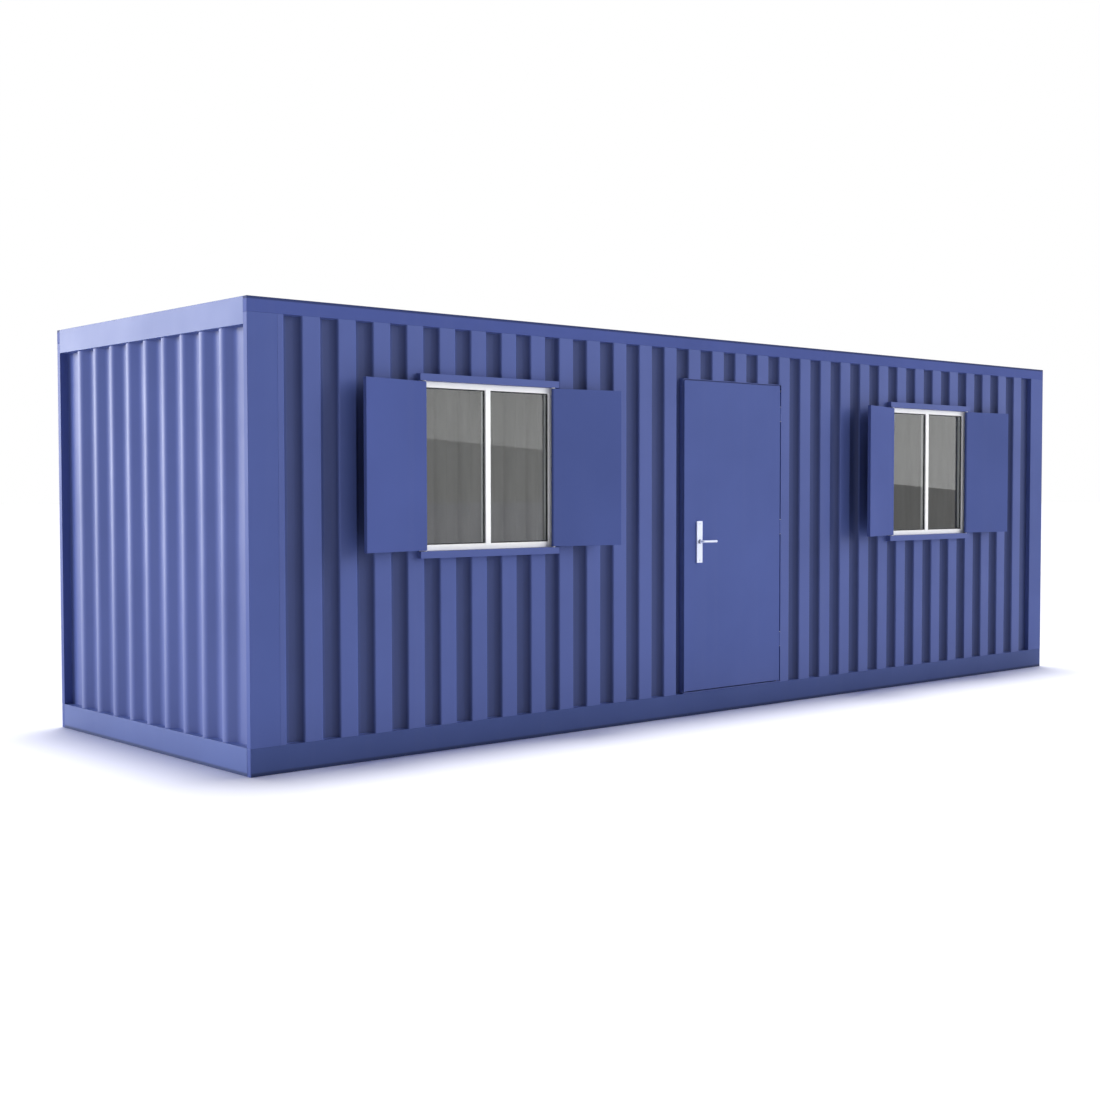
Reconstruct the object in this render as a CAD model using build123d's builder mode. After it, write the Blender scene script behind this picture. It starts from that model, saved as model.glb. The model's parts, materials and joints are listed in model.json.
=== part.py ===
"""Portable site cabin of folded steel sheet, 24 ft class.

Millimetres, +Z up. The long front wall with the door and the windows faces -Y.
The origin is on the ground, in the middle of the length and of the whole depth, with the
shutters as they stand. Distances along the front are counted from the left end, and depths
inward from the front plane.
"""
from build123d import *
import os
from math import atan2, cos, radians, sin, tan

os.makedirs("parts", exist_ok=True)

# Overall size
length = 7890
width = 2400
height = 2591

# Base and frame, folded from plate
plate = 4
base_height = 155
frame_depth = 40
end_rail_depth = 60
top_side_height = 85
top_end_height = 150
post_width = 188

# Floor
deck_thick = 21
deck_top = base_height - plate
member_height = 100
member_flange = 45
member_thick = 3
member_spacing = 600
member_count = 13

# Folded sheet of the long walls: flats flush with the frame, grooves between them
sheet = 2
groove_pitch = 236.2
first_groove = 226
groove_width = 120
groove_run = 18
groove_depth = 36
groove_count = 32

# Folded sheet of the end walls: rounded ridges set back behind the frame
ridge_pitch = 225
ridge_flat = 40
ridge_run = 70
ridge_depth = 45
ridge_setback = 10
ridge_bend = 60
ridge_count = 9

# Roof sheet: shallow transverse folds
roof_drop = 6
roof_pitch = 300
roof_groove = 110
roof_run = 30
roof_depth = 20
roof_count = 26

# Windows
window_centres = {"left": 1660, "right": 6190}
surround_width = 1080
surround_bottom = 1151
surround_top = 2230
ledge_height = 41
ledge_front = -38
surround_side = 10
surround_side_front = -5
surround_back = 45
frame_face = 5
frame_back = 55
frame_bar = 43
frame_bar_height = 36
mullion = 40
glass_front = 18
glass_thick = 6
glass_bite = 8

# Shutters, pivoted on pins between the ledges
shutter_width = 498
shutter_thick = 24
shutter_gap = 5
shutter_skin = 1.5
pivot_depth = -24
pivot_spacing = 1003
pin_radius = 5
pin_clearance = 0.05
pin_reach = 30
stile = 30
rest_angles = {("left", "left"): 11.5, ("left", "right"): 12, ("right", "left"): 16, ("right", "right"): 8}

# Door
door_left = 3366
door_right = 4382
clear_left = 3415
clear_right = 4325
leaf_right = 4362
leaf_bottom = 171
leaf_top = 2295
leaf_front = -8
lip_thick = 13
leaf_back = 45
leaf_skin = 1.5
jamb_front = 10
jamb_depth = 60
jamb_wing = 26
core_gap = 7
head_bottom = 2253
head_top = 2303
cap_thick = 4
sill_thick = 8

# Door hinges
hinge_x = 4370
hinge_depth = -2
hinge_radius = 7
hinge_pin_radius = 4
knuckle = 50
knuckle_gap = 1
hinge_flag = 4
hinge_heights = (420, 1233, 2045)

# Handle
spindle_x = 3510
spindle_z = 1196
plate_width = 54
plate_height = 286
plate_middle_z = 1193
plate_thick = 10
lever_radius = 9
lever_sides = 16
lever_length = 124
lever_reach = 42
lever_bend = 14
spindle_square = 8
spindle_hole = 10

half_length = length / 2
shutter_reach = max(
    shutter_width * sin(radians(angle)) + shutter_thick / 2 * cos(radians(angle)) - pivot_depth
    for angle in rest_angles.values()
)
front_y = (shutter_reach - width) / 2
rear_y = front_y + width
top_side_low = height - top_side_height
top_end_low = height - top_end_height
leaf_core_left = clear_left + core_gap
leaf_core_right = clear_right - core_gap
shutter_bottom = surround_bottom + ledge_height + shutter_gap
shutter_top = surround_top - ledge_height - shutter_gap

# Planes of the four walls: X runs along the wall as seen from outside, Y runs inward, Z is up
front_plane = Plane(origin=(-half_length, front_y, 0), x_dir=(1, 0, 0), z_dir=(0, 0, 1))
rear_plane = Plane(origin=(half_length, rear_y, 0), x_dir=(-1, 0, 0), z_dir=(0, 0, 1))
left_plane = Plane(origin=(-half_length, rear_y, 0), x_dir=(0, -1, 0), z_dir=(0, 0, 1))
right_plane = Plane(origin=(half_length, front_y, 0), x_dir=(0, 1, 0), z_dir=(0, 0, 1))


def along(distance):
    """X of a distance counted from the left end of the cabin."""
    return distance - half_length


def deep(depth):
    """Y of a depth counted inward from the front plane."""
    return depth + front_y


def save(builder, name):
    builder.part.label = name
    export_step(builder.part, f"parts/{name}.step")


def block(x, y, z, mode=Mode.ADD):
    """Box between pairs of coordinates."""
    with Locations(((x[0] + x[1]) / 2, (y[0] + y[1]) / 2, (z[0] + z[1]) / 2)):
        Box(x[1] - x[0], y[1] - y[0], z[1] - z[0], mode=mode)


def front_block(x, y, z, mode=Mode.ADD):
    """Box whose X is counted from the left end and whose Y is counted from the front plane."""
    block((along(x[0]), along(x[1])), (deep(y[0]), deep(y[1])), z, mode)


# Folded sheets

def folded_line(start, stop, folds, run, depth, shift):
    """Corner points of one face of a folded sheet; shift moves its bends for the back face."""
    points = [(start, 0)]
    for left, right in folds:
        points.append((left - shift, 0))
        points.append((left + run - shift, depth))
        points.append((right - run + shift, depth))
        points.append((right + shift, 0))
    points.append((stop, 0))
    return points


def folded_face(start, stop, folds, run, depth, bend=0):
    """Cross-section of a folded sheet with its outer flats on the sketch's X axis."""
    shift = sheet * tan(atan2(depth, run) / 2)
    outer = folded_line(start, stop, folds, run, depth, 0)
    inner = [(u, v + sheet) for u, v in folded_line(start, stop, folds, run, depth, shift)]
    wide = bend + sheet
    with BuildLine() as outline:
        if bend:
            FilletPolyline(*outer, radius=[wide, bend, bend, wide] * len(folds))
            FilletPolyline(*inner, radius=[bend, wide, wide, bend] * len(folds))
        else:
            Polyline(*outer)
            Polyline(*inner)
        Line(outer[0], inner[0])
        Line(outer[-1], inner[-1])
    make_face(outline.edges())


def long_wall_folds():
    """Grooves of a long wall; the last one runs on past the post that closes it."""
    folds = []
    for number in range(groove_count):
        left = first_groove + number * groove_pitch
        folds.append((left, left + groove_width))
    folds[-1] = (folds[-1][0], folds[-1][0] + groove_pitch)
    return folds


def long_wall_sheet(wall_plane, span, low, high):
    """Piece of a long wall's sheet between two distances from its left end."""
    folds = [fold for fold in long_wall_folds() if fold[1] > span[0] and fold[0] < span[1]]
    start = span[0] - groove_pitch
    stop = span[1] + 2 * groove_pitch
    with BuildPart() as piece:
        with BuildSketch(wall_plane.offset(low)):
            folded_face(start, stop, folds, groove_run, groove_depth)
            with Locations(((span[0] + span[1]) / 2, frame_depth / 2)):
                Rectangle(span[1] - span[0], frame_depth, mode=Mode.INTERSECT)
        extrude(amount=high - low)
    return piece


def front_wall_sheets():
    """Nine pieces of the front wall, split beside, over and under the openings."""
    half = surround_width / 2
    left_low, left_high = window_centres["left"] - half, window_centres["left"] + half
    right_low, right_high = window_centres["right"] - half, window_centres["right"] + half
    over_door = head_top + cap_thick
    return {
        "front_wall_left_end": ((post_width, left_low), base_height, top_side_low),
        "front_wall_below_left_window": ((left_low, left_high), base_height, surround_bottom),
        "front_wall_above_left_window": ((left_low, left_high), surround_top, top_side_low),
        "front_wall_left_of_door": ((left_high, door_left), base_height, top_side_low),
        "front_wall_above_door": ((door_left, door_right), over_door, top_side_low),
        "front_wall_right_of_door": ((door_right, right_low), base_height, top_side_low),
        "front_wall_below_right_window": ((right_low, right_high), base_height, surround_bottom),
        "front_wall_above_right_window": ((right_low, right_high), surround_top, top_side_low),
        "front_wall_right_end": ((right_high, length - post_width), base_height, top_side_low),
    }


for name, (span, low, high) in front_wall_sheets().items():
    save(long_wall_sheet(front_plane, span, low, high), name)

rear_span = (post_width, length - post_width)
save(long_wall_sheet(rear_plane, rear_span, base_height, top_side_low), "rear_wall")


def end_wall_sheet(wall_plane):
    """End wall sheet between the posts, set back behind the rails; its outer troughs meet the posts."""
    middle = width / 2
    first_ridge = middle - (ridge_count - 1) / 2 * ridge_pitch
    ridges = [first_ridge + number * ridge_pitch for number in range(ridge_count)]
    starts = [-ridge_pitch / 2] + [ridge + ridge_flat / 2 for ridge in ridges]
    stops = [ridge - ridge_flat / 2 for ridge in ridges] + [width + ridge_pitch / 2]
    folds = list(zip(starts, stops))
    with BuildPart() as piece:
        with BuildSketch(wall_plane.offset(base_height)):
            folded_face(-ridge_pitch, width + ridge_pitch, folds, ridge_run, ridge_depth, ridge_bend)
            with Locations((middle, end_rail_depth / 2)):
                Rectangle(width - 2 * frame_depth, end_rail_depth * 2, mode=Mode.INTERSECT)
        extrude(amount=top_end_low - base_height)
    return piece


def set_back(wall_plane, distance):
    """The wall's plane moved inward."""
    return Plane(wall_plane.from_local_coords((0, distance, 0)), wall_plane.x_dir, wall_plane.z_dir)


save(end_wall_sheet(set_back(left_plane, ridge_setback)), "end_wall_left")
save(end_wall_sheet(set_back(right_plane, ridge_setback)), "end_wall_right")

roof_plane = Plane(
    origin=(0, front_y + frame_depth, height - roof_drop), x_dir=(1, 0, 0), z_dir=(0, 1, 0)
)
roof_half = half_length - end_rail_depth
first_roof_fold = -(roof_count - 1) / 2 * roof_pitch - roof_groove / 2
roof_folds = [
    (first_roof_fold + number * roof_pitch, first_roof_fold + number * roof_pitch + roof_groove)
    for number in range(roof_count)
]
with BuildPart() as roof_sheet:
    with BuildSketch(roof_plane):
        folded_face(-roof_half, roof_half, roof_folds, roof_run, roof_depth)
    extrude(amount=width - 2 * frame_depth)
save(roof_sheet, "roof_sheet")


# Base and frame

def side_rail(outer, inward, low, high):
    """Channel along a long side, open to the inside and closed at its ends."""
    inner = outer + inward * frame_depth
    web = outer + inward * plate
    with BuildPart() as rail:
        block((-half_length, half_length), sorted((outer, inner)), (low, high))
        block((-half_length + plate, half_length - plate), sorted((web, inner)), (low + plate, high - plate),
              Mode.SUBTRACT)
    return rail


def end_rail(side, low, high):
    """Channel across an end, between the side rails, open to the inside."""
    outer = side * half_length
    inner = side * (half_length - end_rail_depth)
    web = side * (half_length - plate)
    between_posts = (front_y + frame_depth, rear_y - frame_depth)
    with BuildPart() as rail:
        block(sorted((outer, inner)), between_posts, (low, high))
        block(sorted((web, inner)), between_posts, (low + plate, high - plate), Mode.SUBTRACT)
    return rail


for name, outer, inward in (("front", front_y, 1), ("rear", rear_y, -1)):
    save(side_rail(outer, inward, 0, base_height), f"bottom_side_rail_{name}")
    save(side_rail(outer, inward, top_side_low, height), f"top_side_rail_{name}")
for name, side in (("left", -1), ("right", 1)):
    save(end_rail(side, 0, base_height), f"bottom_end_rail_{name}")
    save(end_rail(side, top_end_low, height), f"top_end_rail_{name}")

for row, post_y in (("front", front_y + frame_depth / 2), ("rear", rear_y - frame_depth / 2)):
    for end, x_side in (("left", -1), ("right", 1)):
        with BuildPart() as corner_post:
            with BuildSketch(Plane.XY.offset(base_height)):
                with Locations((x_side * (half_length - post_width / 2), post_y)):
                    Rectangle(post_width, frame_depth)
                    Rectangle(post_width - 2 * plate, frame_depth - 2 * plate, mode=Mode.SUBTRACT)
            extrude(amount=top_side_low - base_height)
        save(corner_post, f"corner_post_{row}_{end}")

with BuildPart() as floor_cross_members:
    with BuildSketch(Plane.XZ.offset(plate - rear_y)):
        with GridLocations(member_spacing, 0, member_count, 1):
            with Locations((0, deck_top - deck_thick - member_height / 2)):
                Rectangle(member_flange, member_height)
                with Locations((member_thick / 2, 0)):
                    Rectangle(member_flange - member_thick, member_height - 2 * member_thick,
                              mode=Mode.SUBTRACT)
    extrude(amount=width - 2 * plate)
save(floor_cross_members, "floor_cross_members")

with BuildPart() as floor_deck:
    block((-half_length + end_rail_depth, half_length - end_rail_depth),
          (front_y + frame_depth, rear_y - frame_depth),
          (deck_top - deck_thick, deck_top))
save(floor_deck, "floor_deck")


# Windows

def window_surround(centre):
    """Steel surround: ledges above and below that carry the shutter pins, and side plates."""
    low, high = centre - surround_width / 2, centre + surround_width / 2
    with BuildPart() as surround:
        front_block((low, high), (surround_side_front, surround_back), (surround_bottom, surround_top))
        front_block((low, high), (ledge_front, 0), (surround_bottom, surround_bottom + ledge_height))
        front_block((low, high), (ledge_front, 0), (surround_top - ledge_height, surround_top))
        front_block((low + surround_side, high - surround_side), (surround_side_front, surround_back),
                    (surround_bottom + ledge_height, surround_top - ledge_height), Mode.SUBTRACT)
        for offset in (-pivot_spacing / 2, pivot_spacing / 2):
            pivot = (along(centre + offset), deep(pivot_depth))
            for foot in (shutter_bottom - shutter_gap, shutter_top - pin_reach):
                with BuildSketch(Plane.XY.offset(foot)):
                    with Locations(pivot):
                        Circle(pin_radius)
                extrude(amount=pin_reach + shutter_gap)
    return surround


def window_frame(centre):
    """White frame of two lights with a centre mullion, rebated for the glass."""
    half = surround_width / 2 - surround_side
    low_z, high_z = surround_bottom + ledge_height, surround_top - ledge_height
    light_width = half - frame_bar - mullion / 2
    with BuildPart() as frame:
        front_block((centre - half, centre + half), (frame_face, frame_back), (low_z, high_z))
        for side in (-1, 1):
            middle = centre + side * (mullion / 2 + light_width / 2)
            x = (middle - light_width / 2, middle + light_width / 2)
            z = (low_z + frame_bar_height, high_z - frame_bar_height)
            front_block(x, (frame_face, frame_back), z, Mode.SUBTRACT)
            front_block((x[0] - glass_bite, x[1] + glass_bite), (glass_front, glass_front + glass_thick),
                        (z[0] - glass_bite, z[1] + glass_bite), Mode.SUBTRACT)
    return frame


def window_glass(centre):
    """Two panes held in the rebates."""
    half = surround_width / 2 - surround_side
    low_z, high_z = surround_bottom + ledge_height, surround_top - ledge_height
    light_width = half - frame_bar - mullion / 2
    with BuildPart() as glass:
        for side in (-1, 1):
            middle = centre + side * (mullion / 2 + light_width / 2)
            reach = light_width / 2 + glass_bite
            front_block((middle - reach, middle + reach), (glass_front, glass_front + glass_thick),
                        (low_z + frame_bar_height - glass_bite, high_z - frame_bar_height + glass_bite))
    return glass


def shutter(centre, side, rest_angle):
    """Leaf on its pivot, swung open to its rest angle off the wall; side is -1 left, 1 right."""
    pivot = (along(centre + side * pivot_spacing / 2), deep(pivot_depth))
    turn = -side * rest_angle
    heading = (0 if side > 0 else 180) + turn
    leaf_plane = Plane(origin=(pivot[0], pivot[1], shutter_bottom)).rotated((0, 0, heading))
    tall = shutter_top - shutter_bottom
    with BuildPart() as leaf:
        with BuildSketch(leaf_plane):
            Circle(shutter_thick / 2)
            with Locations((shutter_width / 2, 0)):
                Rectangle(shutter_width, shutter_thick)
            Circle(pin_radius + pin_clearance, mode=Mode.SUBTRACT)
        extrude(amount=tall)
        with BuildSketch(leaf_plane.offset(shutter_skin)):
            with Locations(((stile + shutter_width - shutter_skin) / 2, 0)):
                Rectangle(shutter_width - shutter_skin - stile, shutter_thick - 2 * shutter_skin)
        extrude(amount=tall - 2 * shutter_skin, mode=Mode.SUBTRACT)
    return leaf


for name, centre in window_centres.items():
    save(window_surround(centre), f"{name}_window_surround")
    save(window_frame(centre), f"{name}_window_frame")
    save(window_glass(centre), f"{name}_window_glass")
    for hand, side in (("left", -1), ("right", 1)):
        leaf = shutter(centre, side, rest_angles[(name, hand)])
        save(leaf, f"{name}_window_shutter_{hand}")


# Door frame

with BuildPart() as door_jamb_lock_side:
    front_block((door_left, clear_left), (jamb_front, jamb_depth),
                (base_height + sill_thick, head_bottom))
save(door_jamb_lock_side, "door_jamb_lock_side")

with BuildPart() as door_jamb_hinge_side:
    front_block((clear_right, door_right), (jamb_front, jamb_depth),
                (base_height + sill_thick, head_bottom))
    front_block((door_right, door_right + jamb_wing), (sheet, jamb_depth),
                (base_height + sill_thick, head_bottom))
    for low in hinge_heights:
        with BuildSketch(Plane.XY.offset(low)):
            with Locations((along(hinge_x), deep(hinge_depth))):
                Circle(hinge_radius)
            with Locations((along(hinge_x), deep((hinge_depth + jamb_front) / 2))):
                Rectangle(hinge_flag, jamb_front - hinge_depth)
        extrude(amount=knuckle)
        with BuildSketch(Plane.XY.offset(low + knuckle)):
            with Locations((along(hinge_x), deep(hinge_depth))):
                Circle(hinge_pin_radius)
        extrude(amount=knuckle + knuckle_gap)
save(door_jamb_hinge_side, "door_jamb_hinge_side")

with BuildPart() as door_head:
    front_block((door_left, door_right), (jamb_front, jamb_depth), (head_bottom, head_top))
    front_block((door_left, door_right), (0, jamb_depth), (head_top, head_top + cap_thick))
save(door_head, "door_head")

with BuildPart() as door_threshold:
    front_block((door_left, door_right), (0, jamb_depth), (base_height, base_height + sill_thick))
save(door_threshold, "door_threshold")


# Door leaf

with BuildPart() as door_leaf:
    core_low = base_height + sill_thick + core_gap
    core_high = head_bottom - core_gap
    skin = leaf_skin
    lip_back = leaf_front + lip_thick
    front_block((door_left, leaf_right), (leaf_front, lip_back), (leaf_bottom, leaf_top))
    front_block((leaf_core_left, leaf_core_right), (lip_back, leaf_back), (core_low, core_high))
    front_block((door_left + skin, leaf_right - skin), (leaf_front + skin, lip_back - skin),
                (leaf_bottom + skin, leaf_top - skin), Mode.SUBTRACT)
    front_block((leaf_core_left + skin, leaf_core_right - skin), (leaf_front + skin, leaf_back - skin),
                (core_low + skin, core_high - skin), Mode.SUBTRACT)
    with BuildSketch(Plane.XZ.offset(-deep(leaf_front))):
        with Locations((along(spindle_x), spindle_z)):
            Circle(spindle_hole + leaf_skin)
    extrude(amount=-(leaf_back - leaf_front))
    with BuildSketch(Plane.XZ.offset(-deep(leaf_front))):
        with Locations((along(spindle_x), spindle_z)):
            Circle(spindle_hole)
    extrude(amount=-(leaf_back - leaf_front), mode=Mode.SUBTRACT)
    for low in hinge_heights:
        upper = low + knuckle + knuckle_gap
        with BuildSketch(Plane.XY.offset(upper)):
            with Locations((along(hinge_x), deep(hinge_depth))):
                Circle(hinge_radius)
            with Locations((along((hinge_x + leaf_right) / 2), deep(hinge_depth))):
                Rectangle(hinge_x - leaf_right, hinge_flag)
            with Locations((along(hinge_x), deep(hinge_depth))):
                Circle(hinge_pin_radius + pin_clearance, mode=Mode.SUBTRACT)
        extrude(amount=knuckle)
save(door_leaf, "door_leaf")

with BuildPart() as door_handle_plates:
    for face, outward in ((leaf_front, 1), (leaf_back, -1)):
        with BuildSketch(Plane.XZ.offset(-deep(face))):
            with Locations((along(spindle_x), plate_middle_z)):
                Rectangle(plate_width, plate_height)
            with Locations((along(spindle_x), spindle_z)):
                Circle(lever_radius + pin_clearance, mode=Mode.SUBTRACT)
        extrude(amount=outward * plate_thick)
save(door_handle_plates, "door_handle_plates")

with BuildPart() as door_lever_set:
    for face, outward in ((leaf_front, 1), (leaf_back, -1)):
        start = deep(face)
        turn = start - outward * (plate_thick + lever_reach)
        with BuildLine() as grip_path:
            FilletPolyline(
                (along(spindle_x), start, spindle_z),
                (along(spindle_x), turn, spindle_z),
                (along(spindle_x) + lever_length, turn, spindle_z),
                radius=lever_bend,
            )
        with BuildSketch(Plane.XZ.offset(-start)):
            with Locations((along(spindle_x), spindle_z)):
                RegularPolygon(lever_radius, lever_sides)
        sweep(path=grip_path.line)
    front_block((spindle_x - spindle_square / 2, spindle_x + spindle_square / 2), (leaf_front, leaf_back),
                (spindle_z - spindle_square / 2, spindle_z + spindle_square / 2))
save(door_lever_set, "door_lever_set")
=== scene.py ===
# %% [markdown]
# # A portable site cabin
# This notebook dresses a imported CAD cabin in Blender: a steel box of folded sheet, about 7.9 m long,
# with a hinged door, two shuttered windows and a welded frame.
# The CAD gives every main shape in metres, with +Z up, the long front facing -Y and the ground at z = 0.
# So nothing is fitted by eye: each new piece takes its place from a CAD piece's box.

import json
import math

import bmesh
import bpy
from mathutils import Matrix, Vector


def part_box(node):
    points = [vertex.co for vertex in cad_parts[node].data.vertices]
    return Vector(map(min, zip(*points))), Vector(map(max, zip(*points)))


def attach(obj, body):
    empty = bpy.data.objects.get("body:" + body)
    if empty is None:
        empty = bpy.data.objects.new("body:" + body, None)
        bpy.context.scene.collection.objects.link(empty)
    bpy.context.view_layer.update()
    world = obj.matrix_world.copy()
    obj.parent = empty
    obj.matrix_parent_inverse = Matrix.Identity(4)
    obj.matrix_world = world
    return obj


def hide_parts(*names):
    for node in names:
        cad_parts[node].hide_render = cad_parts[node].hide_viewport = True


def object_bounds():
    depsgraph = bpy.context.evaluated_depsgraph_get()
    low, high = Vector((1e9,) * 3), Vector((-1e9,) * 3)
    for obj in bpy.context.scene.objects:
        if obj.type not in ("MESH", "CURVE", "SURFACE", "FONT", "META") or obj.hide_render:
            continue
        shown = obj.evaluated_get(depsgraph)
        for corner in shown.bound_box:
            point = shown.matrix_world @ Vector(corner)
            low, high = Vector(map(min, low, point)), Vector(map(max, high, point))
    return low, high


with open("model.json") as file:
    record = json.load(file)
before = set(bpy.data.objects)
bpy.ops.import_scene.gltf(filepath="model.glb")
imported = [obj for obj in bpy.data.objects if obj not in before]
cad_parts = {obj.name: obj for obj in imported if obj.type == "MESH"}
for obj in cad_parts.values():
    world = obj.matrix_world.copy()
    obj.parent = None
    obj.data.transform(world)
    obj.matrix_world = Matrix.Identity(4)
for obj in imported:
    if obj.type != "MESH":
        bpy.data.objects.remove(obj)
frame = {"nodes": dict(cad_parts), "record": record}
cad_low, cad_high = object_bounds()
MM = 0.001
print("cabin box", [round(c, 4) for c in (*cad_low, *cad_high)])

# %% [markdown]
# ## The camera
# A camera is a pinhole with a lens, so its place settles the perspective and its lens the framing.
# This one stands at eye height off the front left corner, and looks along the long wall.
# Its heading is measured from +X towards +Y, and a Blender camera at rest looks down -Z.

# %% Camera
EYE = Vector((-8.1841, -8.3630, 1.5479))
HEADING = math.radians(48.592)
PITCH_DOWN = math.radians(2.2195)
ROLL = math.radians(-0.078)
camera_data = bpy.data.cameras.new("camera")
camera_data.lens = 50.314
camera_data.sensor_width = 36.0
camera_data.clip_end = 400.0
camera = bpy.data.objects.new("camera", camera_data)
bpy.context.scene.collection.objects.link(camera)
camera.matrix_world = (
    Matrix.Translation(EYE)
    @ Matrix.Rotation(HEADING - math.pi / 2, 4, "Z")
    @ Matrix.Rotation(math.pi / 2 - PITCH_DOWN, 4, "X")
    @ Matrix.Rotation(ROLL, 4, "Z")
)
bpy.context.scene.camera = camera
bpy.context.scene.view_settings.view_transform = "Standard"
print("camera at", [round(c, 3) for c in camera.matrix_world.translation])

# %% [markdown]
# ## Floor and world
# A white studio is a white floor that runs into a white world.
# The world shows white to the camera, to gloss and through glass by the Light Path node,
# while the light that it casts stays soft, so white never means more light on the paint.
# The floor is plain white paper. Shadows beside a blue cabin pick up its blue,
# and a faint glow in that colour, which is only seen and casts no light, fills them.

# %% Node helpers


def linear(hex_colour):
    """An sRGB hex colour such as '515D99' as linear RGBA."""
    channels = [int(hex_colour[i : i + 2], 16) / 255 for i in (0, 2, 4)]
    return tuple(c / 12.92 if c <= 0.04045 else ((c + 0.055) / 1.055) ** 2.4 for c in channels) + (1.0,)


def feed(tree, socket, value):
    """Sets an input to a number or colour, or links it to a socket or to a node's first live output."""
    if isinstance(value, bpy.types.Node):
        value = next(output for output in value.outputs if output.enabled)
    if isinstance(value, bpy.types.NodeSocket):
        tree.links.new(value, socket)
    else:
        socket.default_value = value


def add_node(tree, kind, inputs=None, **settings):
    """Adds a node, sets its properties, and feeds its inputs, each by its name or its number."""
    node = tree.nodes.new(kind)
    for key, value in settings.items():
        setattr(node, key, value)
    live = {socket.name: socket for socket in reversed(node.inputs) if socket.enabled}
    for key, value in (inputs or {}).items():
        feed(tree, node.inputs[key] if isinstance(key, int) else live[key], value)
    return node


def seen_rays(tree):
    """1 for rays from the camera, off gloss or through glass, and 0 for rays that carry light."""
    path = add_node(tree, "ShaderNodeLightPath").outputs
    direct = {0: path["Is Camera Ray"], 1: path["Is Glossy Ray"]}
    seen = add_node(tree, "ShaderNodeMath", direct, operation="MAXIMUM")
    through = {0: seen, 1: path["Is Transmission Ray"]}
    return add_node(tree, "ShaderNodeMath", through, operation="MAXIMUM")


print("white is", [round(c, 3) for c in linear("FFFFFF")])

# %% Floor


def stage_card(name, corners):
    """A flat panel of the studio, from its corners in order."""
    shape = bmesh.new()
    shape.faces.new([shape.verts.new(c) for c in corners])
    mesh = bpy.data.meshes.new(name)
    shape.to_mesh(mesh)
    shape.free()
    card = bpy.data.objects.new(name, mesh)
    bpy.context.scene.collection.objects.link(card)
    return card


FLOOR_HALF = 150.0
PAPER_WHITE = linear("E7E7E7")
SHADOW_BLUE = linear("6C81FF")
SHADOW_GLOW = 0.13
floor = stage_card(
    "studio_floor",
    [(x * FLOOR_HALF, y * FLOOR_HALF, 0) for x, y in ((-1, -1), (1, -1), (1, 1), (-1, 1))],
)
floor_paper = bpy.data.materials.new("white_studio_paper")
floor_paper.use_nodes = True
paper = floor_paper.node_tree
paper.nodes.clear()
paper_matt = add_node(paper, "ShaderNodeBsdfDiffuse", {"Color": PAPER_WHITE})
paper_glow = add_node(paper, "ShaderNodeEmission", {"Color": SHADOW_BLUE, "Strength": SHADOW_GLOW})
paper_dark = add_node(paper, "ShaderNodeEmission", {"Strength": 0.0})
paper_seen = add_node(paper, "ShaderNodeMixShader", {0: seen_rays(paper), 1: paper_dark, 2: paper_glow})
paper_sum = add_node(paper, "ShaderNodeAddShader", {0: paper_matt, 1: paper_seen})
add_node(paper, "ShaderNodeOutputMaterial", {"Surface": paper_sum})
floor.data.materials.append(floor_paper)
print("floor", FLOOR_HALF * 2, "m square")

# %% World
WORLD_FILL = 0.1
world = bpy.data.worlds.new("studio")
bpy.context.scene.world = world
world.use_nodes = True
sky = world.node_tree
sky.nodes.clear()
sky_white = add_node(sky, "ShaderNodeBackground", {"Color": linear("FFFFFF"), "Strength": 1.0})
sky_fill = add_node(sky, "ShaderNodeBackground", {"Color": linear("FFFFFF"), "Strength": WORLD_FILL})
sky_seen = add_node(sky, "ShaderNodeMixShader", {0: seen_rays(sky), 1: sky_fill, 2: sky_white})
add_node(sky, "ShaderNodeOutputWorld", {"Surface": sky_seen})
print("world fill", WORLD_FILL)

# %% [markdown]
# ## Lamps
# A Sun lamp gives the same light all along a building, where a near area lamp would fade from end to end.
# Its angle is how wide the source looks, so 54 degrees is a very large softbox with a wide, soft shadow edge.
# That key lamp stands at the front right, and weaker ones light the roof, the left end and the back.
# The floor has a lamp of its own, high overhead and narrower, so the shadow lies close round the cabin.
# Light linking does this: a collection says what a lamp lights, and one that excludes the floor says what
# the others light.
# The rim lamp is an area lamp, because its shape is meant to show as a sheen on the left end wall.
# It is seen by gloss only, so it adds the sheen and leaves the shadows as they are.
# A weak lamp hangs inside, because a room behind glass looks dead when nothing in it is lit.

# %% What the lamps light
floor_only = bpy.data.collections.new("lit_by_overhead_lamp")
floor_only.objects.link(floor)
all_but_floor = bpy.data.collections.new("lit_by_every_other_lamp")
all_but_floor.objects.link(floor)
all_but_floor.collection_objects[0].light_linking.link_state = "EXCLUDE"


def hang_lamp(name, data, place, toward, gloss=False):
    """Puts a lamp in the scene that shines against the direction toward, on all but the floor."""
    lamp = bpy.data.objects.new(name, data)
    bpy.context.scene.collection.objects.link(lamp)
    lamp.location = place
    lamp.rotation_mode = "QUATERNION"
    lamp.rotation_quaternion = Vector(toward).to_track_quat("Z", "Y")
    lamp.visible_glossy = gloss
    lamp.visible_transmission = False
    lamp.visible_camera = False
    lamp.light_linking.receiver_collection = all_but_floor
    return lamp


# %% Broad lamps
SUN_AWAY = 20.0


def broad_light(name, toward, angle, level):
    """A far lamp in the direction toward. A level of 1 is plain white light on a surface that faces it."""
    data = bpy.data.lights.new(name, "SUN")
    data.angle = math.radians(angle)
    data.energy = level * math.pi
    return hang_lamp(name, data, Vector(toward).normalized() * SUN_AWAY, toward)


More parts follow.
